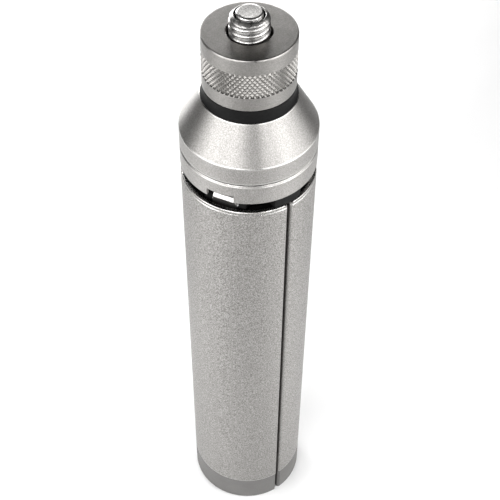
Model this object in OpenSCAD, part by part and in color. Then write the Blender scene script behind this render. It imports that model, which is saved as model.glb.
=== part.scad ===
// Pocket tripod: three folding legs close into a hand grip under a thumbwheel head.
// Millimetres. +Z up, z = 0 under the feet, leg 1 faces -Y.

/* [Body] */
// Outer radius of the shells, feet, hinge ring and cone band
body_r = 17; // [15:0.5:19]
// Gap between two closed legs
slit = 0.84; // [0.7:0.02:1]
// Chamfer along the long edges of the shells and feet
edge_chamfer = 0.65; // [0.4:0.05:0.8]

/* [Legs] */
// Height of the foot pads
foot_top = 9.9; // [7:0.1:14]
// Top of the shells
shell_top = 134.4; // [134:0.1:134.6]
// Wall of the shells
shell_wall = 1.2; // [1:0.05:1.3]
// Wall of the inner channels
core_wall = 1.8; // [1.4:0.1:2]
// How far out the hinge pins sit
pivot_x = 12; // [11.8:0.1:12.2]
// Height of the hinge pins
pivot_z = 132.8; // [132.6:0.1:133]

/* [Head] */
// Underside of the hinge ring's skirt
ring_bottom = 137.55; // [137.5:0.05:138]
// Width of each notch in the skirt
notch_width = 7; // [6.4:0.1:8]
// Radius of the thumbwheel
wheel_r = 11.1; // [10.5:0.1:11.5]
// Top face of the thumbwheel
wheel_top = 175.35; // [174:0.05:178]
// How far the sleeve stands above the thumbwheel
sleeve_out = 4.45; // [4:0.05:4.45]

/* [Hidden] */
$fn = 96;
legs = [0, 1, 2];
leg_pitch = 120;
far = 60; // longer than any half width
eps = 0.02; // keeps fixed neighbours off each other
leg_gap = 0.05; // between a core and its shell

coarse_r = 4.7625; // 3/8 inch thread, major radius
fine_r = 3.175; // 1/4 inch thread, major radius
sleeve_bore_r = 3.5;
relief_r = 4.3;
tip_chamfer = 0.6;
core_tip = 5.15; // inner screw above the wheel

ring_top = 143.2;
ring_chamfer = 0.4;
skirt_wall = 0.95;
web_bottom = 140.6;
land_r = 14.2;
notch_top = 139.6;

cone_bottom = 143.7;
band_top = 148.7;
cone_top = 158;
cone_top_r = 11.7;
nut_cavity_r = 8.2;
nut_cavity_top = 151.3;
spindle_r = 3;
boss_r = 6;
boss_top = 160.8;

friction_top = 161.1;
friction_r = 11;
friction_foot_r = 11.6;
friction_flare = 2.1; // height of the flared foot
wheel_bottom = 161.2;
wheel_chamfer = 0.3;
plate_top = 163.2;
plate_r = 9.3;
pocket_top = 172.9;
pocket_r = 8.4;
hole_r = 5.3;
flange_r = 7.6;
flange_h = 1.5;
key_r = 9.4;
key_w = 2;

sleeve_top = wheel_top + sleeve_out;
stud_top = wheel_top + core_tip;
flange_top = pocket_top - 0.1;
sleeve_bottom = 168.2;
stud_flange_r = 5;
spring_r = 6.2;
spring_wire_r = 0.28;
spring_turns = 5;

ear_in = 3.5;
ear_out = 5.5;
ear_r = 2.4;
arm_x = 10.2;
pin_r = 1.25;
knuckle_half = 3;
knuckle_front = 14.5;
knuckle_top = 136.15;
knuckle_bevel = [0.6, 0.85]; // depth and height of the slope on top of the front face
knuckle_head_r = 2;
tail_in = 9.8;
tail_out = 13.55;
tail_bottom = 108;
knuckle_screw_z = [112, 121];
small_screw_r = 1.25;
plate_bottom = 138;
plate_out = 15.6;
column_r = 7;
column_bottom = 129;
hub_boss_r = 6.4;
lobe_r = 16.6; // three lobes that fill the gap over the slits
lobe_in = 14.1;
lobe_half = 3.8;
lobe_bottom = 134.6;
hub_screw_at = 11.3;
hub_screw_r = 1.5;

rim_chamfer = 0.4;
corner_cut = 1.1;
core_top = shell_top - 0.6;
core_out = body_r - shell_wall - leg_gap;
core_lip_r = 9;
shell_lip_r = 11.5;
tongue_top = 19;
window_half = 6.2;
window_bottom = 129.4;

// Turns a leg drawn along +X to its own side: leg 1 to -Y, then every 120 degrees.
module leg_side(k) rotate([0, 0, -90 + leg_pitch * k]) children();

module disc(r, z0, z1) translate([0, 0, z0]) cylinder(r = r, h = z1 - z0);

module tube(r, bore, z0, z1) difference() {
  disc(r, z0, z1);
  disc(bore, z0 - 1, z1 + 1);
}

// Point on a slit side of the leg's sector: u along the slit, v in from its middle.
function at_slit(u, v, s) = [u * cos(60) + v * sin(60), s * (u * sin(60) - v * cos(60))];

// Prism over the third of a circle that one leg may fill, set back from both slits.
module wedge(set_back, z0, z1) {
  tip = [set_back / sin(60), 0];
  translate([0, 0, z0]) linear_extrude(z1 - z0)
    polygon([tip, at_slit(far, set_back, -1), at_slit(far, set_back, 1)]);
}

// Frame on one slit side: +X out along the slit, +Y into the leg.
module slit_side(s) rotate([0, 0, 60 * s]) mirror([0, s > 0 ? 1 : 0, 0]) children();

// Round bar along the leg's own tangent, at the hinge.
module cross_bar(r, y0, y1) translate([pivot_x, y0, pivot_z]) rotate([-90, 0, 0])
  cylinder(r = r, h = y1 - y0);

// Round bar pointing outwards along the leg's +X.
module out_bar(r, x0, x1, z) translate([x0, 0, z]) rotate([0, 90, 0])
  cylinder(r = r, h = x1 - x0);

// ---- thumbwheel head ----

module thread_sleeve() color("Gainsboro") difference() {
  union() {
    disc(coarse_r, wheel_top, sleeve_top - tip_chamfer);
    translate([0, 0, sleeve_top - tip_chamfer])
      cylinder(r1 = coarse_r, r2 = coarse_r - tip_chamfer, h = tip_chamfer);
    disc(relief_r, sleeve_bottom, wheel_top);
    disc(flange_r, flange_top - flange_h, flange_top);
    for (k = legs) rotate([0, 0, leg_pitch * k])
      translate([flange_r - 1, -key_w / 2, flange_top - flange_h])
        cube([key_r - 0.4 - flange_r + 1, key_w, flange_h]);
  }
  disc(sleeve_bore_r, sleeve_bottom - 1, sleeve_top + 1);
}

module core_stud() color("Silver") {
  dome = 0.7;
  union() {
    disc(fine_r, plate_top, stud_top - dome);
    translate([0, 0, stud_top - dome]) cylinder(r1 = fine_r, r2 = fine_r - 1, h = dome);
    disc(stud_flange_r, plate_top - 1, plate_top);
    disc(spindle_r, nut_cavity_top - 4.3, plate_top - 1);
  }
}

module sleeve_spring() color("DimGray") {
  sides = 8;
  per_turn = 20;
  count = per_turn * spring_turns;
  low = plate_top + spring_wire_r + eps;
  rise = flange_top - flange_h - spring_wire_r - eps - low;
  rings = [for (i = [0:count]) let (a = 360 * i / per_turn, z = low + rise * i / count)
    for (j = [0:sides - 1]) let (b = 360 * j / sides, r = spring_r + spring_wire_r * cos(b))
      [r * cos(a), r * sin(a), z + spring_wire_r * sin(b)]];
  walls = [for (i = [0:count - 1], j = [0:sides - 1]) let (n = (j + 1) % sides)
    [i * sides + j, i * sides + n, (i + 1) * sides + n, (i + 1) * sides + j]];
  first = [for (j = [0:sides - 1]) sides - 1 - j];
  last = [for (j = [0:sides - 1]) count * sides + j];
  polyhedron(points = rings, faces = concat(walls, [first, last]), convexity = 8);
}

module thumbwheel() color("DarkGray") difference() {
  rotate_extrude() polygon([[0, wheel_bottom], [wheel_r, wheel_bottom],
    [wheel_r, wheel_top - wheel_chamfer], [wheel_r - wheel_chamfer, wheel_top],
    [0, wheel_top]]);
  disc(hole_r, pocket_top - 1, wheel_top + 1);
  disc(pocket_r, plate_top, pocket_top);
  disc(plate_r + eps, wheel_bottom - 1, plate_top);
  for (k = legs) rotate([0, 0, leg_pitch * k])
    translate([pocket_r - 1, -key_w / 2 - 0.12, plate_top])
      cube([key_r - pocket_r + 1, key_w + 0.24, pocket_top - plate_top]);
}

module wheel_base() color("DarkGray") difference() {
  disc(plate_r, wheel_bottom, plate_top);
  disc(stud_flange_r + eps, plate_top - 1, plate_top + 1);
  disc(spindle_r + 0.1, wheel_bottom - 1, plate_top);
}

module spindle_washer() color("Silver")
  tube(5.6, spindle_r + 0.05, nut_cavity_top - 0.9, nut_cavity_top - 0.1);

module spindle_nut() color("DimGray") difference() {
  translate([0, 0, nut_cavity_top - 3.9]) cylinder(r = 5, h = 3, $fn = 6);
  disc(spindle_r, nut_cavity_top - 5, nut_cavity_top);
}

// ---- fixed head ----

module friction_ring() color([0.1, 0.1, 0.1]) {
  bore = boss_r + 0.05;
  rotate_extrude() polygon([[bore, cone_top], [friction_foot_r, cone_top],
    [friction_r, cone_top + friction_flare], [friction_r, friction_top], [bore, friction_top]]);
}

module shoulder_cone() color("Silver") difference() {
  rotate_extrude() polygon([[0, cone_bottom], [body_r - 0.15, cone_bottom],
    [body_r, cone_bottom + 0.15], [body_r, band_top], [cone_top_r, cone_top],
    [boss_r, cone_top], [boss_r, boss_top], [0, boss_top]]);
  disc(spindle_r + 0.05, cone_bottom, boss_top + 1);
  disc(nut_cavity_r, cone_bottom - 1, nut_cavity_top);
  hub_screw_holes(cone_bottom - 1, 149.6, hub_screw_r);
}

module hinge_ring() color("Silver") difference() {
  rotate_extrude() polygon([[0, ring_bottom], [body_r, ring_bottom],
    [body_r, ring_top - ring_chamfer], [body_r - ring_chamfer, ring_top],
    [land_r, ring_top], [land_r, cone_bottom], [0, cone_bottom]]);
  disc(body_r - skirt_wall, ring_bottom - 1, web_bottom);
  disc(hub_boss_r + eps, web_bottom - 1, cone_bottom + 1);
  hub_screw_holes(web_bottom - 1, cone_bottom + 1, hub_screw_r + 0.1);
  for (k = legs) leg_side(k)
    translate([body_r - 3, -notch_width / 2, ring_bottom - 1])
      cube([6, notch_width, notch_top - ring_bottom + 1]);
}

module hub_screw_holes(z0, z1, r) for (k = legs) leg_side(k + 0.5)
  translate([hub_screw_at, 0, 0]) disc(r, z0, z1);

module ear(side) {
  y0 = side > 0 ? ear_in : -ear_out;
  difference() {
    union() {
      cross_bar(ear_r, y0, y0 + ear_out - ear_in);
      translate([arm_x, y0, pivot_z])
        cube([pivot_x + 0.3 - arm_x, ear_out - ear_in, plate_bottom - pivot_z + 0.5]);
    }
    cross_bar(pin_r, y0 - 1, y0 + 4);
  }
}

module hub() color([0.1, 0.1, 0.1]) difference() {
  union() {
    disc(plate_out, plate_bottom, web_bottom);
    disc(hub_boss_r, web_bottom, cone_bottom + 1.2);
    disc(column_r, column_bottom, plate_bottom);
    for (k = legs) leg_side(k) {
      ear(1);
      ear(-1);
    }
    for (k = legs) leg_side(k + 0.5) intersection() {
      union() {
        disc(lobe_r, lobe_bottom, ring_bottom - 0.1);
        disc(plate_out - 0.2, lobe_bottom, plate_bottom + 1);
      }
      translate([lobe_in, -lobe_half, lobe_bottom])
        cube([4, 2 * lobe_half, plate_bottom - lobe_bottom + 0.5]);
    }
  }
  hub_screw_holes(plate_bottom - 1, web_bottom + 1, hub_screw_r + 0.1);
  disc(4.2, column_bottom - 1, cone_bottom + 2);
}

module hub_screws() color("DimGray") for (k = legs) leg_side(k + 0.5)
  translate([hub_screw_at, 0, 0]) difference() {
    union() {
      disc(hub_screw_r, plate_bottom - 0.5, 149.4);
      disc(2.6, plate_bottom - 2.2, plate_bottom);
    }
    translate([0, 0, plate_bottom - 3]) cylinder(r = 1.45, h = 2, $fn = 6);
  }

// ---- legs, each drawn along +X ----

module leg_solid(z0, z1) {
  corner = body_r - edge_chamfer;
  beyond = 3;
  side = slit / 2;
  intersection() {
    disc(body_r, z0, z1);
    translate([0, 0, z0]) linear_extrude(z1 - z0) polygon([[side / sin(60), 0],
      at_slit(corner, side, -1), at_slit(corner + beyond, side + beyond, -1), [25, 0],
      at_slit(corner + beyond, side + beyond, 1), at_slit(corner, side, 1)]);
  }
}

module leg_shell(k) color("LightGray") leg_side(k) difference() {
  leg_solid(foot_top + eps, shell_top);
  intersection() {
    disc(body_r - shell_wall, foot_top, shell_top + 1);
    wedge(slit / 2 + shell_wall, foot_top, shell_top + 1);
  }
  disc(shell_lip_r, foot_top, shell_top + 1);
  // small chamfer round the top rim
  translate([0, 0, shell_top - rim_chamfer]) difference() {
    disc(body_r + 1, 0, 1);
    cylinder(r1 = body_r, r2 = body_r - 1, h = 1);
  }
  // top corners cut back beside the slits, clear of the next leg in the swing
  for (s = [-1, 1]) slit_side(s) translate([0, slit / 2, shell_top - corner_cut])
    rotate([45, 0, 0]) translate([0, -4, 0]) cube([far, 12, 4]);
}

module leg_core(k) color([0.12, 0.12, 0.12]) leg_side(k) {
  side = slit / 2 + shell_wall + leg_gap;
  difference() {
    intersection() {
      disc(core_out, foot_top + eps, core_top);
      wedge(side, foot_top + eps, core_top);
    }
    intersection() {
      disc(core_out - core_wall, foot_top, core_top + 1);
      wedge(side + core_wall, foot_top, core_top + 1);
    }
    disc(core_lip_r, foot_top, core_top + 1);
    translate([arm_x, -window_half, window_bottom])
      cube([8, 2 * window_half, core_top - window_bottom + 1]);
    for (z = knuckle_screw_z) out_bar(small_screw_r, tail_in, core_out + 1, z);
  }
}

module knuckle(k) color("Silver") leg_side(k) difference() {
  union() {
    cross_bar(knuckle_head_r, -knuckle_half, knuckle_half);
    translate([0, knuckle_half, 0]) rotate([90, 0, 0]) linear_extrude(2 * knuckle_half)
      polygon([[pivot_x - 0.8, pivot_z - 3], [knuckle_front, pivot_z - 3],
        [knuckle_front, knuckle_top - knuckle_bevel[1]],
        [knuckle_front - knuckle_bevel[0], knuckle_top], [pivot_x - 0.8, knuckle_top]]);
    translate([tail_in, -knuckle_half, tail_bottom])
      cube([tail_out - tail_in, 2 * knuckle_half, pivot_z - tail_bottom]);
  }
  cross_bar(pin_r + 0.05, -knuckle_half - 1, knuckle_half + 1);
  for (z = knuckle_screw_z) out_bar(small_screw_r + 0.1, tail_in - 1, tail_out + 1, z);
}

module hinge_pin(k) color("Silver") leg_side(k) cross_bar(pin_r, -ear_out, ear_out);

module hinge_washers(k) color("Gainsboro") leg_side(k)
  for (y = [-ear_in + 0.03, knuckle_half + 0.05]) difference() {
    cross_bar(2.15, y, y + 0.42);
    cross_bar(pin_r + 0.08, y - 1, y + 2);
  }

module knuckle_screws(k) color("DimGray") leg_side(k)
  for (z = knuckle_screw_z) difference() {
    union() {
      out_bar(small_screw_r, tail_in - 0.5, core_out - 0.4, z);
      out_bar(2.2, tail_in - 1.3, tail_in - eps, z);
    }
    translate([tail_in - 2, 0, z]) rotate([0, 90, 0]) cylinder(r = 0.95, h = 1.6, $fn = 6);
  }

module foot(k) color("Gray") leg_side(k) {
  side = slit / 2 + shell_wall + core_wall + 2 * leg_gap;
  tongue_r = core_out - core_wall - leg_gap;
  difference() {
    leg_solid(0, foot_top);
    disc(column_r, -1, foot_top + 1);
    // bottom edge eased
    difference() {
      disc(body_r + 1, -1, 0.5);
      translate([0, 0, -1]) cylinder(r1 = body_r - 1.5, r2 = body_r + 0.5, h = 2);
    }
  }
  difference() {
    intersection() {
      disc(tongue_r, foot_top, tongue_top);
      wedge(side, foot_top, tongue_top);
    }
    disc(tongue_r - 3, foot_top - 1, tongue_top + 1);
  }
}

thread_sleeve();
core_stud();
sleeve_spring();
thumbwheel();
wheel_base();
spindle_washer();
spindle_nut();
friction_ring();
shoulder_cone();
hinge_ring();
hub();
hub_screws();
leg_shell(0);  // leg_shell_1
leg_shell(1);  // leg_shell_2
leg_shell(2);  // leg_shell_3
leg_core(0);  // leg_core_1
leg_core(1);  // leg_core_2
leg_core(2);  // leg_core_3
knuckle(0);  // knuckle_1
knuckle(1);  // knuckle_2
knuckle(2);  // knuckle_3
hinge_pin(0);  // hinge_pin_1
hinge_pin(1);  // hinge_pin_2
hinge_pin(2);  // hinge_pin_3
hinge_washers(0);  // hinge_washers_1
hinge_washers(1);  // hinge_washers_2
hinge_washers(2);  // hinge_washers_3
knuckle_screws(0);  // knuckle_screws_1
knuckle_screws(1);  // knuckle_screws_2
knuckle_screws(2);  // knuckle_screws_3
foot(0);  // foot_1
foot(1);  // foot_2
foot(2);  // foot_3
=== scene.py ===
"""Looks for the folding pocket tripod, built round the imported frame."""
import math

import bmesh
import bpy
from mathutils import Matrix, Vector


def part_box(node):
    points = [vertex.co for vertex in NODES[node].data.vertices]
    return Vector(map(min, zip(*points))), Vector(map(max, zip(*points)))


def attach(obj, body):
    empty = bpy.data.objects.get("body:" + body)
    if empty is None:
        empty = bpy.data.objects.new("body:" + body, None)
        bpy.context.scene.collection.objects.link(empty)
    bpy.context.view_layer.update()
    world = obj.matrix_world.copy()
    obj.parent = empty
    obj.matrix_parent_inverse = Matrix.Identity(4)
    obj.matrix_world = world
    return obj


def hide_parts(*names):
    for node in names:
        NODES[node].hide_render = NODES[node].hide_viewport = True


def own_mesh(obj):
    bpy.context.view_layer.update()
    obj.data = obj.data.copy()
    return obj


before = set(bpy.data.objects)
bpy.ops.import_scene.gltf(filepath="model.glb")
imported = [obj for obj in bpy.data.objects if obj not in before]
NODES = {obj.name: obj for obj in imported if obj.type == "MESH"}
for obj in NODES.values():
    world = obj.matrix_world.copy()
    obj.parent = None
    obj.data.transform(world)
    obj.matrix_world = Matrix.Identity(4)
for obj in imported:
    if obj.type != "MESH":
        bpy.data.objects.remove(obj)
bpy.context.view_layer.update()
MM = 0.001
TAU = 2 * math.pi
LEGS = (1, 2, 3)


def low(node):
    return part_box(node)[0].z / MM


def high(node):
    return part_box(node)[1].z / MM


def reach(node):
    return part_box(node)[1].x / MM


# ---- sizes in millimetres; these are read from the frame ----
BODY_R = reach("shoulder_cone")
SHELL_TOP = high("leg_shell_1")
SHELL_LOW = low("leg_shell_1")
WHEEL_R = reach("thumbwheel")
WHEEL_TOP = high("thumbwheel")
WHEEL_LOW = low("thumbwheel")
SLEEVE_TOP = high("thread_sleeve")
SLEEVE_LOW = low("thread_sleeve")
STUD_TOP = high("core_stud")
STUD_LOW = low("core_stud")
RING_LOW = low("hinge_ring")
CONE_LOW = low("shoulder_cone")
FRICTION_FOOT_R = reach("friction_ring")
FRICTION_LOW = low("friction_ring")
FRICTION_TOP = high("friction_ring")
PLATE_TOP = high("wheel_base")

# sizes that repeat the part's own
SLIT = 0.84
EDGE = 0.65
SHELL_WALL = 1.2
SHELL_LIP_R = 11.5
RING_TOP = 143.2
SKIRT_WALL = 0.95
SKIRT_R_MIN = 14.5
WEB_LOW = 140.6
LAND_R = 14.2
NOTCH_TOP = 139.6
NOTCH_HALF = 3.5
HUB_BOSS_R = 6.42
BAND_TOP = 148.7
CONE_TOP_R = 11.7
FRICTION_R = 11.0
FLARE_TOP = 160.1
COARSE_R, COARSE_PITCH = 4.7625, 1.5875
FINE_R, FINE_PITCH = 3.175, 1.27
BORE_R = 3.5
RELIEF_R = 4.3
FLANGE_R, FLANGE_LOW, FLANGE_TOP = 7.6, 171.3, 172.8
KEY_R, KEY_HALF = 9.0, 1.0
KEY_GROOVE_R, KEY_GROOVE_HALF = 9.4, 1.12
HOLE_R = 5.3
POCKET_R, POCKET_TOP = 8.4, 172.9
PLATE_R = 9.32
STUD_FLANGE_R = 5.0
SPINDLE_R = 3.0
SPRING_R, WIRE_R, SPRING_TURNS = 6.2, 0.28, 5

# sizes that only the looks have; a slope is (depth, height)
CORNER = 0.5
RIM_STEP, RIM_INSET = 1.0, 0.12
RING_SLOPE = (0.28, 0.5)
WHEEL_SLOPE = (0.16, 0.28)
KNURL_LOW, KNURL_TOP = 164.9, 171.4
KNURL_STARTS, KNURL_ROWS = 58, 4.5
KNURL_DEPTH, KNURL_PROUD = 0.46, 0.03
THREAD_START = WHEEL_TOP - 1.1
SLEEVE_TAPER, SLEEVE_TAPER_DEPTH = 1.35, 0.98
CORE_DOME, CORE_DOME_DEPTH = 0.55, 0.42
COARSE_DEPTH = 0.52
FINE_DEPTH = 0.42
CORE_PHASE = 2.4


def leg_turn(k):
    return math.radians(-90 + 120 * (k - 1))


# ---- mesh helpers ----
def make(name, verts, faces, edge=None, sharp=32):
    """A smooth-shaded object from millimetre points; edge is each point's wear, 0 to 1, and on the
    screws the mask for painted shade in the thread roots.
    """
    me = bpy.data.meshes.new(name)
    me.from_pydata([Vector(v) * MM for v in verts], [], faces)
    if edge is not None:
        att = me.attributes.new("edge", "FLOAT", "POINT")
        att.data.foreach_set("value", edge)
    bm = bmesh.new()
    bm.from_mesh(me)
    bmesh.ops.remove_doubles(bm, verts=bm.verts, dist=1e-7)
    bmesh.ops.recalc_face_normals(bm, faces=bm.faces)
    bm.to_mesh(me)
    bm.free()
    me.shade_smooth()
    me.set_sharp_from_angle(angle=math.radians(sharp))
    ob = bpy.data.objects.new(name, me)
    bpy.context.scene.collection.objects.link(ob)
    return ob


def eased(points, radii, steps=4, support=0.3):
    """Closed 2D outline with rounded corners, as (x, y, wear) with a clean point each side."""
    out = []
    n = len(points)
    for i, p in enumerate(points):
        p = Vector(p)
        a, b = Vector(points[i - 1]), Vector(points[(i + 1) % n])
        r = radii[i] if isinstance(radii, (list, tuple)) else radii
        u, v = (a - p), (b - p)
        lu, lv = u.length, v.length
        u.normalize()
        v.normalize()
        half = math.acos(max(-1, min(1, u.dot(v)))) / 2
        if r <= 0 or half > math.radians(89):
            out.append((p.x, p.y, 0.0))
            continue
        t = min(r / math.tan(half), 0.45 * lu, 0.45 * lv)
        start, end = p + u * t, p + v * t
        if t + support < 0.5 * lu:
            q = p + u * (t + support)
            out.append((q.x, q.y, 0.0))
        for s in range(steps + 1):
            w = s / steps
            q = start * (1 - w) ** 2 + p * 2 * w * (1 - w) + end * w ** 2
            out.append((q.x, q.y, 1.0))
        if t + support < 0.5 * lv:
            q = p + v * (t + support)
            out.append((q.x, q.y, 0.0))
    return out


def lathe(name, outline, seg=224, sharp=32):
    """Turns a closed (radius, height, wear) outline round Z; points on the axis close it."""
    verts, faces, edge = [], [], []
    n = len(outline)
    for j in range(seg):
        a = TAU * j / seg
        c, s = math.cos(a), math.sin(a)
        for r, z, w in outline:
            verts.append((r * c, r * s, z))
            edge.append(w)
    for j in range(seg):
        k = (j + 1) % seg
        for i in range(n):
            m = (i + 1) % n
            if outline[i][0] < 1e-6 and outline[m][0] < 1e-6:
                continue
            faces.append((j * n + i, j * n + m, k * n + m, k * n + i))
    return make(name, verts, faces, edge, sharp)


def field(name, seg, rows, inner, sharp=32):
    """A turned part whose outer radius varies: rows of (z, function of angle, wear), bottom
    first, closed by the inner chain of (radius or function, z, wear) from top to bottom;
    on the screws that third value is the mask for painted shade in the thread roots."""
    column = [(f, z, w) for z, f, w in rows] + list(inner)
    n = len(column)
    verts, faces, edge = [], [], []
    for j in range(seg):
        a = TAU * j / seg
        c, s = math.cos(a), math.sin(a)
        for f, z, w in column:
            r = f(a) if callable(f) else f
            worn = w(a) if callable(w) else w
            verts.append((r * c, r * s, z))
            edge.append(worn)
    for j in range(seg):
        k = (j + 1) % seg
        for i in range(n):
            m = (i + 1) % n
            if i == n - 1 and column[i][0] == 0 and column[0][0] == 0:
                continue
            faces.append((j * n + i, j * n + m, k * n + m, k * n + i))
    return make(name, verts, faces, edge, sharp)


def span(a, b, n):
    return [a + (b - a) * i / n for i in range(n + 1)]


def smooth(x):
    x = max(0.0, min(1.0, x))
    return x * x * (3 - 2 * x)


# ---- screws ----
def thread_height(a, z, pitch):
    """0 in the root to 1 on the crest of a right-hand thread, both rounded."""
    t = (z / pitch - a / TAU) % 1.0
    return (0.5 - 0.5 * math.cos(TAU * t)) ** 0.6


def thread_shade_mask(z, pitch, tip):
    """Mask for painted shade in the thread roots: 0 in the roots to 1 on the crests and everywhere
    on the turned end above tip.
    """
    end = smooth((z - tip) / 0.3)
    return lambda a: max(end, smooth((thread_height(a, z, pitch) - 0.15) / 0.5))


def cut_thread(z, r, pitch, depth, tip_r):
    """Radius at that height of a thread of outer radius r that runs out where tip_r is less."""
    return lambda a: min(tip_r, r - depth * (1 - thread_height(a, z, pitch)))


def sleeve_tip(z):
    """Long rounded taper that leads the sleeve's thread in."""
    over = max(0.0, z - (SLEEVE_TOP - SLEEVE_TAPER)) / SLEEVE_TAPER
    return COARSE_R - SLEEVE_TAPER_DEPTH * over ** 1.7


def core_tip(z):
    """Domed edge of the inner screw."""
    over = max(0.0, z - (STUD_TOP - CORE_DOME)) / CORE_DOME
    return FINE_R - 0.06 - CORE_DOME_DEPTH * (1 - math.sqrt(max(0.0, 1 - over ** 2)))


def keyed(a, r, key_r, key_half):
    """Radius r, or key_r within key_half of one of the three keys."""
    for k in range(3):
        off = (a - TAU * k / 3 + math.pi) % TAU - math.pi
        if abs(off) < key_half / key_r:
            return key_r
    return r


def key_radius(a):
    """The sleeve's flange with its keys."""
    return keyed(a, FLANGE_R, KEY_R, KEY_HALF)


def groove_radius(a):
    """The wheel's pocket with its grooves for the keys."""
    return keyed(a, POCKET_R, KEY_GROOVE_R, KEY_GROOVE_HALF)


def thread_sleeve():
    rows = [(SLEEVE_LOW, RELIEF_R, 0), (FLANGE_LOW, RELIEF_R, 0), (FLANGE_LOW, key_radius, 0),
            (FLANGE_TOP, key_radius, 0), (FLANGE_TOP, RELIEF_R, 0), (THREAD_START, RELIEF_R, 0)]
    for z in span(THREAD_START, SLEEVE_TOP, 90):
        rows.append((z, cut_thread(z, COARSE_R, COARSE_PITCH, COARSE_DEPTH, sleeve_tip(z)),
                     thread_shade_mask(z, COARSE_PITCH, SLEEVE_TOP - 1.1)))
    lip = BORE_R + 0.06
    inner = [(lip + 0.13, SLEEVE_TOP + 0.02, 1), (lip + 0.04, SLEEVE_TOP - 0.03, 1),
             (lip, SLEEVE_TOP - 0.14, 1), (lip, SLEEVE_TOP - 0.5, 0), (BORE_R, SLEEVE_TOP - 0.7, 0),
             (BORE_R, SLEEVE_LOW + 0.3, 0), (BORE_R, SLEEVE_LOW, 0)]
    ob = field("screw_sleeve", 192, rows, inner, 50)
    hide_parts("thread_sleeve")
    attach(ob, "sleeve")
    return ob


def core_stud():
    start = PLATE_TOP
    rows = [(STUD_LOW, 0, 0), (STUD_LOW, SPINDLE_R - 0.4, 0.5), (STUD_LOW + 0.4, SPINDLE_R, 0),
            (start - 1, SPINDLE_R, 0), (start - 1, STUD_FLANGE_R, 0), (start, STUD_FLANGE_R, 0)]
    shift = CORE_PHASE / TAU * FINE_PITCH
    for z in span(start, STUD_TOP, 240):
        turned_z = z + shift
        rows.append((z, cut_thread(turned_z, FINE_R, FINE_PITCH, FINE_DEPTH, core_tip(z)),
                     thread_shade_mask(turned_z, FINE_PITCH, STUD_TOP + shift - 0.5)))
    inner = [(2.45, STUD_TOP, 1), (2.0, STUD_TOP - 0.02, 1), (0, STUD_TOP - 0.03, 1)]
    ob = field("screw_core", 144, rows, inner, 50)
    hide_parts("core_stud")
    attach(ob, "wheel")
    return ob


def sleeve_spring():
    """Round wire wound in a helix over the height of the frame's spring."""
    sides, per_turn = 10, 44
    count = SPRING_TURNS * per_turn
    rise = span(low("sleeve_spring") + WIRE_R, high("sleeve_spring") - WIRE_R, count)
    verts, faces = [], []
    for i, z in enumerate(rise):
        a = TAU * i / per_turn
        for j in range(sides):
            b = TAU * j / sides
            r = SPRING_R + WIRE_R * math.cos(b)
            verts.append((r * math.cos(a), r * math.sin(a), z + WIRE_R * math.sin(b)))
    for i in range(count):
        for j in range(sides):
            k = (j + 1) % sides
            faces.append((i * sides + j, i * sides + k, (i + 1) * sides + k, (i + 1) * sides + j))
    faces += [tuple(range(sides)), tuple(range(count * sides, (count + 1) * sides))]
    ob = make("coil_spring", verts, faces)
    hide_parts("sleeve_spring")
    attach(ob, "wheel")
    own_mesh(ob)
    return ob


# ---- thumbwheel ----
def knurl(a, z):
    """Height of the diamond knurl, 0 in a groove to 1 on a flat."""
    u = a * KNURL_STARTS / TAU
    v = (z - KNURL_LOW) / (KNURL_TOP - KNURL_LOW) * KNURL_ROWS
    g1 = abs(((u + v) % 1.0) * 2 - 1)
    g2 = abs(((u - v) % 1.0) * 2 - 1)
    h = min(1 - g1, 1 - g2)
    return min(1.0, h / 0.9)


def knurl_row(z):
    into = min(z - KNURL_LOW, KNURL_TOP - z)
    ends = smooth(into / 0.22)

    def radius(a):
        return WHEEL_R + (KNURL_PROUD - KNURL_DEPTH * (1 - knurl(a, z))) * ends
    return radius


def knurl_wear(z):
    return lambda a: smooth((knurl(a, z) - 0.6) / 0.4) * 0.9


def thumbwheel():
    seg = KNURL_STARTS * 12
    ease = 0.12
    rows = [(WHEEL_LOW, PLATE_R, 0), (WHEEL_LOW, WHEEL_R - 0.45, 0), (WHEEL_LOW, WHEEL_R - 0.2, 1),
            (WHEEL_LOW + 0.06, WHEEL_R - 0.06, 1), (WHEEL_LOW + 0.2, WHEEL_R, 1),
            (WHEEL_LOW + 0.5, WHEEL_R, 0), (KNURL_LOW - 0.3, WHEEL_R, 0),
            (KNURL_LOW - 0.05, WHEEL_R, 0.5)]
    for z in span(KNURL_LOW, KNURL_TOP, 54):
        rows.append((z, knurl_row(z), knurl_wear(z)))
    depth, fall = WHEEL_SLOPE
    rows += [(KNURL_TOP + 0.05, WHEEL_R, 0.5), (KNURL_TOP + 0.3, WHEEL_R, 0),
             (WHEEL_TOP - fall - 0.35, WHEEL_R, 0), (WHEEL_TOP - fall - ease, WHEEL_R, 0.6),
             (WHEEL_TOP - fall, WHEEL_R - 0.02, 1), (WHEEL_TOP - 0.03, WHEEL_R - depth, 1),
             (WHEEL_TOP, WHEEL_R - depth - ease, 0.6)]
    inner = [(WHEEL_R - depth - 0.4, WHEEL_TOP, 0), (HOLE_R + 0.5, WHEEL_TOP, 0),
             (HOLE_R + 0.2, WHEEL_TOP, 1), (HOLE_R, WHEEL_TOP - 0.2, 1),
             (HOLE_R, WHEEL_TOP - 0.5, 0), (HOLE_R, POCKET_TOP, 0),
             (groove_radius, POCKET_TOP, 0), (groove_radius, PLATE_TOP, 0), (PLATE_R, PLATE_TOP, 0)]
    ob = field("knurled_wheel", seg, rows, inner)
    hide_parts("thumbwheel")
    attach(ob, "wheel")
    return ob


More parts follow.
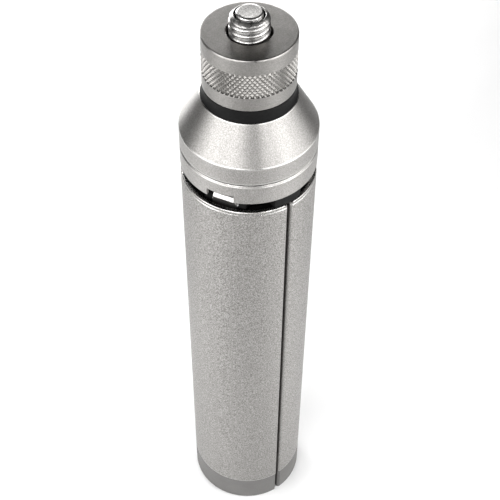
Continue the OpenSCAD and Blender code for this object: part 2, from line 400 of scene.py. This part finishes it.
# ---- fixed head ----
def friction_ring():
    """Ring with a concave flare down to its foot."""
    bore, rise, curve = 6.05, FLARE_TOP - FRICTION_LOW, 2.2
    flare = [(FRICTION_R + (FRICTION_FOOT_R - FRICTION_R) * (1 - t) ** curve,
              FRICTION_LOW + 0.12 + (rise - 0.12) * t, 0) for t in span(0, 1, 8)]
    shape = ([(bore, FRICTION_LOW, 0), (FRICTION_FOOT_R - 0.08, FRICTION_LOW, 1)] + flare +
             [(FRICTION_R, FRICTION_TOP - 0.3, 0), (FRICTION_R - 0.04, FRICTION_TOP - 0.1, 1),
              (FRICTION_R - 0.14, FRICTION_TOP, 1), (FRICTION_R - 0.4, FRICTION_TOP, 0),
              (bore, FRICTION_TOP, 0)])
    ob = lathe("bearing_ring", shape)
    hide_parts("friction_ring")
    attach(ob, "head")
    return ob


def shoulder_cone():
    boss_top, boss_r, cavity_r, cavity_top, bore = high("shoulder_cone"), 6.0, 8.2, 151.3, 3.05
    shape = eased([(cavity_r, CONE_LOW), (BODY_R, CONE_LOW), (BODY_R, BAND_TOP),
                   (CONE_TOP_R, FRICTION_LOW), (boss_r, FRICTION_LOW), (boss_r, boss_top),
                   (bore, boss_top), (bore, cavity_top), (cavity_r, cavity_top)],
                  [0, 0.16, 0.3, 0.12, 0, 0.2, 0, 0, 0], 5)
    ob = lathe("cone", shape, 256, 50)
    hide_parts("shoulder_cone")
    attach(ob, "head")
    return ob


def ring_outline(skirt_low):
    """Section of the hinge ring, with its skirt ending at skirt_low."""
    skirt_in = BODY_R - SKIRT_WALL
    depth, fall = RING_SLOPE
    shape = eased([(skirt_in, skirt_low), (BODY_R, skirt_low), (BODY_R, RING_TOP - fall),
                   (BODY_R - depth, RING_TOP), (LAND_R, RING_TOP), (LAND_R, CONE_LOW),
                   (HUB_BOSS_R, CONE_LOW), (HUB_BOSS_R, WEB_LOW), (skirt_in, WEB_LOW)],
                  [0.08, 0.14, 0.06, 0.06, 0, 0, 0, 0, 0], 3, 0.12)
    return [(r, z, w if z > CONE_LOW - 2 else 0.0) for r, z, w in shape]


def hinge_ring():
    """A turned ring whose sections stop higher over each notch, with flat notch sides."""
    full, cut = ring_outline(RING_LOW), ring_outline(NOTCH_TOP)
    n = len(full)
    sections = []
    for k in LEGS:
        mid = leg_turn(k)
        sections += [(cut, mid, y, None) for y in span(-NOTCH_HALF, NOTCH_HALF, 14)]
        gap = math.asin(NOTCH_HALF / BODY_R)
        rest = span(mid + gap, mid + TAU / 3 - gap, 64)
        sections.append((full, mid, NOTCH_HALF, None))
        sections += [(full, None, None, a) for a in rest[1:-1]]
        sections.append((full, mid + TAU / 3, -NOTCH_HALF, None))
    verts, edge, faces = [], [], []
    for outline, mid, y, a in sections:
        for r, z, w in outline:
            t = a if a is not None else mid + math.asin(max(-1, min(1, y / r)))
            if a is None and r < SKIRT_R_MIN:
                t = mid + math.asin(y / BODY_R)
            verts.append((r * math.cos(t), r * math.sin(t), z))
            edge.append(w)
    m = len(sections)
    for j in range(m):
        k = (j + 1) % m
        for i in range(n):
            q = (i + 1) % n
            faces.append((j * n + i, j * n + q, k * n + q, k * n + i))
    ob = make("hinge_collar", verts, faces, edge)
    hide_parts("hinge_ring")
    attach(ob, "head")
    return ob


# ---- legs, each drawn along +X and turned to its side ----
def at_slit(u, v, s):
    c, d = math.cos(TAU / 6), math.sin(TAU / 6)
    return (u * c + v * d, s * (u * d - v * c))


def chain(r, side, e, lip_r, arc=56, turn=7, straight=5):
    """Half section line of a shell from its middle to a lip, as (x, y, wear)."""
    uc = math.sqrt((r - e) ** 2 - (side + e) ** 2)
    lean = math.atan2(side + e, uc)
    stop = TAU / 6 - lean
    pts = [(r * math.cos(t), r * math.sin(t), 0.0) for t in span(0, stop - 0.03, arc)]
    cx, cy = (r - e) * math.cos(stop), (r - e) * math.sin(stop)
    for t in span(stop, TAU / 6 + TAU / 4, turn):
        pts.append((cx + e * math.cos(t), cy + e * math.sin(t), 0.0))
    lip_u = math.sqrt(lip_r ** 2 - side ** 2)
    for u in span(uc - 0.3, lip_u, straight):
        x, y = at_slit(u, side, 1)
        pts.append((x, y, 0.0))
    return pts


def both_halves(half):
    left = [(x, -y, w) for x, y, w in reversed(half[1:])]
    return left + half


def sector_shell(name, levels, turn_to):
    """Closed C-shaped shell from levels of (z, outer r, side, edge ease, inner r, lip r, wear)."""
    verts, edge, faces = [], [], []
    for z, r, side, e, r_in, lip, worn in levels:
        wall = SHELL_WALL if r - r_in < 3 else 3.0
        outer = both_halves(chain(r, side, e, lip))
        inner = both_halves(chain(r_in, side + wall, 0.35, lip))
        for x, y, w in outer:
            verts.append((x, y, z))
            edge.append(max(w, worn))
        for x, y, w in inner:
            verts.append((x, y, z))
            edge.append(worn)
    n = len(outer)
    row = 2 * n
    for j in range(len(levels) - 1):
        a, b = j * row, (j + 1) * row
        for i in range(n - 1):
            faces.append((a + i, a + i + 1, b + i + 1, b + i))
            faces.append((a + n + i + 1, a + n + i, b + n + i, b + n + i + 1))
        for i in (0, n - 1):
            faces.append((a + i, a + n + i, b + n + i, b + i))
    for a in (0, (len(levels) - 1) * row):
        for i in range(n - 1):
            faces.append((a + i, a + i + 1, a + n + i + 1, a + n + i))
    ob = make(name, verts, faces, edge, 30)
    ob.data.transform(Matrix.Rotation(turn_to, 4, "Z"))
    return ob


def leg_shell(k):
    side, r_in = SLIT / 2, BODY_R - SHELL_WALL
    low_z, top = SHELL_LOW, SHELL_TOP
    levels = [(low_z, BODY_R - 0.12, side + 0.1, EDGE, r_in, SHELL_LIP_R, 1),
              (low_z + 0.12, BODY_R, side, EDGE, r_in, SHELL_LIP_R, 1),
              (low_z + 0.45, BODY_R, side, EDGE, r_in, SHELL_LIP_R, 0)]
    for z in span(low_z + 6, top - RIM_STEP - 0.4, 10):
        levels.append((z, BODY_R, side, EDGE, r_in, SHELL_LIP_R, 0))
    # a fine step below the rim, then the rim with its own bright slope
    band_r = BODY_R - RIM_INSET
    rim = [(RIM_STEP + 0.04, BODY_R, 0), (RIM_STEP, BODY_R - 0.02, 1),
           (RIM_STEP - 0.2, band_r, 1), (RIM_STEP - 0.24, band_r, 0),
           (CORNER, band_r, 0)]
    rim += [(CORNER * (1 - math.sin(t)), band_r, 0) for t in span(TAU / 16, TAU / 8, 1)]
    rim += [(0.24, band_r, 0), (0.2, band_r, 1), (0.02, band_r - 0.11, 1),
            (0, band_r - 0.15, 1)]
    for down, r, worn in rim:
        up = max(0.0, 1 - down / CORNER)
        drop = CORNER * (1 - math.sqrt(1 - up ** 2))
        levels.append((top - down, r, side + drop, EDGE, r_in, SHELL_LIP_R, worn))
    ob = sector_shell(f"shell_{k}", levels, leg_turn(k))
    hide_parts(f"leg_shell_{k}")
    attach(ob, f"leg_{k}")
    return ob


# ---- materials ----
class Tree:
    """A material's nodes, with short calls to add and join them."""

    def __init__(self, name):
        self.mat = bpy.data.materials.new(name)
        self.mat.use_nodes = True
        self.nt = self.mat.node_tree
        self.shader = self.nt.nodes["Principled BSDF"]

    def add(self, kind, **values):
        n = self.nt.nodes.new(kind)
        for key, value in values.items():
            if key in n.inputs:
                n.inputs[key].default_value = value
            else:
                setattr(n, key, value)
        return n

    def join(self, a, b):
        self.nt.links.new(a, b)

    def coords(self, stretch=(1, 1, 1)):
        tc = self.add("ShaderNodeTexCoord")
        mp = self.add("ShaderNodeMapping", Scale=stretch)
        self.join(tc.outputs["Object"], mp.inputs["Vector"])
        return mp.outputs["Vector"]

    def noise(self, size_mm, detail=2.0, stretch=(1, 1, 1), rough=0.5):
        n = self.add("ShaderNodeTexNoise", Scale=1000.0 / size_mm, Detail=detail, Roughness=rough)
        self.join(self.coords(stretch), n.inputs["Vector"])
        return n.outputs["Fac"]

    def remap(self, value, a, b, c, d):
        n = self.add("ShaderNodeMapRange")
        for i, x in enumerate((a, b, c, d), 1):
            n.inputs[i].default_value = x
        self.join(value, n.inputs[0])
        return n.outputs[0]

    def math(self, op, a, b):
        n = self.add("ShaderNodeMath", operation=op)
        for i, x in enumerate((a, b)):
            if isinstance(x, (int, float)):
                n.inputs[i].default_value = x
            else:
                self.join(x, n.inputs[i])
        return n.outputs[0]

    def mix(self, fac, a, b):
        n = self.add("ShaderNodeMix", data_type="RGBA")
        for socket, x in ((n.inputs[0], fac), (n.inputs[6], a), (n.inputs[7], b)):
            if isinstance(x, (int, float)):
                socket.default_value = x
            elif isinstance(x, tuple):
                socket.default_value = (*x, 1)
            else:
                self.join(x, socket)
        return n.outputs[2]

    def wear_and_shade(self):
        # on most parts this mask marks polished edges; on the screws it marks painted shade in the
        # thread roots
        return self.add("ShaderNodeAttribute", attribute_name="edge").outputs["Fac"]

    def bump(self, height, depth_mm):
        n = self.add("ShaderNodeBump", Strength=1.0, Distance=depth_mm * MM)
        self.join(height, n.inputs["Height"])
        self.join(n.outputs["Normal"], self.shader.inputs["Normal"])

    def put(self, socket, value):
        if isinstance(value, (int, float)):
            self.shader.inputs[socket].default_value = value
        elif isinstance(value, tuple):
            self.shader.inputs[socket].default_value = (*value, 1)
        else:
            self.join(value, self.shader.inputs[socket])


POLISHED = (0.62, 0.61, 0.595)


def shade(color, share):
    """The colour made darker or, above 1, lighter by that share."""
    return tuple(share * c for c in color)


def blasted(name, base, bright, rough=0.42, grain=0.28, depth=0.02):
    """Bead-blasted, anodised aluminium: fine sparkling grain, faint drifts, brighter edges."""
    t = Tree(name)
    drift = t.noise(38, 3.0, (1, 1, 0.5))
    speck = t.noise(grain, 1.0, rough=0.7)
    tone = t.mix(t.remap(drift, 0.3, 0.7, 0, 1), shade(base, 0.95), shade(base, 1.05))
    tone = t.mix(t.remap(speck, 0.35, 0.65, 0, 1), tone, bright)
    tone = t.mix(t.remap(t.noise(2.2, 2.0), 0.62, 0.8, 0, 0.18), tone, shade(base, 0.8))
    tone = t.mix(t.math("MULTIPLY", t.wear_and_shade(), 0.7), tone, POLISHED)
    t.put("Base Color", tone)
    t.put("Metallic", 1.0)
    worn = t.math("MULTIPLY", t.wear_and_shade(), 0.26 - rough)
    t.put("Roughness", t.math("ADD", t.remap(speck, 0.3, 0.7, rough + 0.05, rough - 0.05), worn))
    t.bump(speck, depth)
    return t.mat


def turned(name, base, bright, rough=0.3, pitch=0.09, depth=0.004, spots=0.4):
    """Turned or machined metal: fine lines round Z, small stains, polished edges."""
    t = Tree(name)
    lines = t.noise(pitch, 2.0, (0.03, 0.03, 1), 0.6)
    spot = t.noise(spots, 3.0)
    tone = t.mix(t.remap(lines, 0.3, 0.7, 0, 0.6), base, bright)
    tone = t.mix(t.remap(spot, 0.55, 0.8, 0, 0.22), tone, shade(base, 0.65))
    tone = t.mix(t.remap(t.noise(0.28, 1.0), 0.4, 0.62, 0.35, 0), tone, shade(base, 0.5))
    tone = t.mix(t.math("MULTIPLY", t.wear_and_shade(), 0.4), tone, bright)
    t.put("Base Color", tone)
    t.put("Metallic", 1.0)
    t.put("Roughness", t.math("ADD", t.remap(spot, 0.3, 0.7, rough - 0.05, rough + 0.08),
                              t.math("MULTIPLY", t.wear_and_shade(), -0.08)))
    t.bump(lines, depth)
    return t.mat


def threaded(name, base, bright, root_shade, rough=0.34, mottle=0.5, depth=0.006):
    """Cut screw steel: mottled bright crests and faces, painted shade darkening the thread roots.
    """
    t = Tree(name)
    blotch = t.noise(mottle, 2.0, (1, 1, 0.6), 0.6)
    speck = t.noise(0.22, 1.0)
    tone = t.mix(t.remap(blotch, 0.38, 0.62, 0, 1), base, bright)
    tone = t.mix(t.remap(speck, 0.5, 0.7, 0, 0.6), tone, shade(base, 0.55))
    # painted shade: where the mask is 0 (thread roots, bore and the faces below the thread) the
    # steel takes the darker root colour
    tone = t.mix(t.wear_and_shade(), root_shade, tone)
    t.put("Base Color", tone)
    t.put("Metallic", 1.0)
    t.put("Roughness", t.remap(blotch, 0.35, 0.65, rough + 0.08, rough - 0.08))
    t.bump(speck, depth)
    return t.mat


def moulded(name, base, light, rough=0.5, grain=0.3, depth=0.012, gloss=0.1):
    """Moulded plastic or rubber: fine pebble with lighter raised grains, faint mottle."""
    t = Tree(name)
    pebble = t.noise(grain, 2.0, rough=0.55)
    mottle = t.noise(6, 3.0)
    tone = t.mix(t.remap(mottle, 0.35, 0.7, 0, 0.5), base, light)
    tone = t.mix(t.remap(pebble, 0.5, 0.75, 0, 0.4), tone, light)
    t.put("Base Color", tone)
    t.put("Metallic", 0.0)
    t.put("Specular IOR Level", gloss)
    t.put("Roughness", t.remap(pebble, 0.3, 0.7, rough + 0.07, rough - 0.07))
    t.bump(pebble, depth)
    return t.mat


def dress(names, mat):
    for name in names:
        ob = NODES[name]
        ob.data.materials.clear()
        ob.data.materials.append(mat)
        ob.data.set_sharp_from_angle(angle=math.radians(30))


def paint(obs, mat):
    for ob in obs:
        ob.data.materials.append(mat)


def numbered(*stems):
    return [f"{s}_{k}" for s in stems for k in LEGS]


# ---- build ----
SHELL = blasted("shell_alloy", (0.187, 0.181, 0.172), (0.41, 0.40, 0.388), 0.52, 0.3, 0.026)
HEAD = blasted("head_alloy", (0.235, 0.227, 0.217), (0.40, 0.39, 0.378), 0.42, 0.22, 0.012)
WHEEL = turned("wheel_alloy", (0.25, 0.242, 0.231), (0.34, 0.33, 0.317), 0.38, 0.1, 0.003, 1.5)
# the fourth colour is the painted shade for the thread roots and bore
STEEL = threaded("screw_alloy", (0.46, 0.45, 0.435), (0.74, 0.73, 0.715), (0.34, 0.333, 0.324))
BLOCK = turned("knuckle_alloy", (0.50, 0.49, 0.475), (0.66, 0.65, 0.635), 0.34, 0.12, 0.004)
SMALL = turned("fixing_steel", (0.34, 0.34, 0.34), (0.5, 0.5, 0.5), 0.3, 0.08, 0.004)
WIRE = turned("spring_wire", (0.2, 0.2, 0.2), (0.34, 0.34, 0.34), 0.3, 0.08, 0.003)
INK = moulded("black_polymer", (0.004, 0.004, 0.004), (0.009, 0.009, 0.009), 0.55, 0.35, 0.01)
NIGHT = moulded("black_anodised", (0.006, 0.006, 0.006), (0.01, 0.01, 0.01), 0.6, 0.2, 0.006)
PAD = moulded("grey_pad", (0.092, 0.089, 0.086), (0.128, 0.125, 0.12), 0.55, 0.22, 0.014, 0.5)

paint([thread_sleeve(), core_stud()], STEEL)
paint([thumbwheel()], WHEEL)
paint([friction_ring()], INK)
paint([shoulder_cone(), hinge_ring()], HEAD)
paint([leg_shell(k) for k in LEGS], SHELL)
dress(["wheel_base"], WHEEL)
dress(["hub"], NIGHT)
dress(numbered("leg_core"), INK)
dress(numbered("knuckle"), BLOCK)
dress(numbered("foot"), PAD)
paint([sleeve_spring()], WIRE)
dress(["spindle_washer", "spindle_nut", "hub_screws"] +
      numbered("hinge_pin", "hinge_washers", "knuckle_screws"), SMALL)


# ---- camera, floor and light ----
CAM_TURN = math.radians(24)
CAM_AWAY = 199.4 * MM
CAM_HEIGHT = 322.8 * MM
CAM_PITCH = math.radians(47.83)
CAM_ROLL = math.radians(0.34)


def camera():
    data = bpy.data.cameras.new("view")
    data.sensor_width = 36
    data.lens = 78.8
    data.shift_x = 0.0036
    data.clip_start = 0.01
    ob = bpy.data.objects.new("view", data)
    ob.location = (CAM_AWAY * math.sin(CAM_TURN), -CAM_AWAY * math.cos(CAM_TURN), CAM_HEIGHT)
    turn = (Matrix.Rotation(CAM_TURN, 4, "Z") @ Matrix.Rotation(TAU / 4 - CAM_PITCH, 4, "X") @
            Matrix.Rotation(CAM_ROLL, 4, "Z"))
    ob.rotation_euler = turn.to_euler()
    bpy.context.scene.collection.objects.link(ob)
    bpy.context.scene.camera = ob


def floor():
    """A plain pale floor, just below the feet."""
    half = 0.6
    bm = bmesh.new()
    bmesh.ops.create_grid(bm, x_segments=8, y_segments=8, size=half)
    me = bpy.data.meshes.new("floor")
    bm.to_mesh(me)
    bm.free()
    ob = bpy.data.objects.new("floor", me)
    ob.location.z = -0.0002
    bpy.context.scene.collection.objects.link(ob)
    t = Tree("pale_floor")
    t.put("Base Color", t.mix(t.remap(t.noise(60, 2.0), 0.3, 0.7, 0, 1),
                              (0.83, 0.83, 0.83), (0.86, 0.86, 0.86)))
    t.put("Roughness", 0.9)
    t.put("Specular IOR Level", 0.0)
    me.materials.append(t.mat)


def softbox(name, turn, lift, away, width, height, power):
    """An area light aimed at the head, at that turn from the camera's own side."""
    data = bpy.data.lights.new(name, "AREA")
    data.shape = "RECTANGLE"
    data.size, data.size_y = width, height
    data.energy = power
    ob = bpy.data.objects.new(name, data)
    a, e = math.radians(turn) + CAM_TURN, math.radians(lift)
    aim = Vector((0, 0, 0.11))
    back = Vector((math.sin(a) * math.cos(e), -math.cos(a) * math.cos(e), math.sin(e)))
    ob.location = aim + back * away
    ob.rotation_euler = back.to_track_quat("Z", "Y").to_euler()
    bpy.context.scene.collection.objects.link(ob)


def floor_light(name, turn, out, up, size, power):
    """A small light beside the part that faces straight down."""
    data = bpy.data.lights.new(name, "AREA")
    data.size = size
    data.energy = power
    ob = bpy.data.objects.new(name, data)
    a = math.radians(turn) + CAM_TURN
    ob.location = (math.sin(a) * out, -math.cos(a) * out, up)
    bpy.context.scene.collection.objects.link(ob)


def backdrop(strength):
    """A pale surround that is seen behind the floor and lights nothing."""
    world = bpy.data.worlds.new("studio")
    world.use_nodes = True
    bpy.context.scene.world = world
    back = world.node_tree.nodes["Background"]
    back.inputs["Color"].default_value = (1, 1, 1, 1)
    back.inputs["Strength"].default_value = strength
    for rays in ("diffuse", "glossy", "transmission", "scatter"):
        setattr(world.cycles_visibility, rays, False)


camera()
floor()
for name, turn, power in (("rear_left_box", -150, 1.5), ("rear_box", 180, 1.0),
                          ("left_side_box", -75, 0.44), ("left_front_box", -55, 0.97),
                          ("right_front_box", 55, 0.9), ("right_side_box", 75, 0.57),
                          ("right_flank_box", 95, 0.42)):
    softbox(name, turn, 12, 0.42, 0.18, 0.4, power)
for name, turn, power in (("left_strip", -30, 1.5), ("mid_left_strip", -15, 1.1),
                          ("mid_strip", 0, 0.4), ("right_strip", 30, 1.4)):
    softbox(name, turn, 18, 0.8, 0.14, 0.4, power)
floor_light("left_floor_light", -75, 0.13, 0.1, 0.09, 0.13)
floor_light("right_floor_light", 65, 0.14, 0.1, 0.09, 0.12)
backdrop(0.9)

bpy.context.scene.view_settings.view_transform = "Standard"
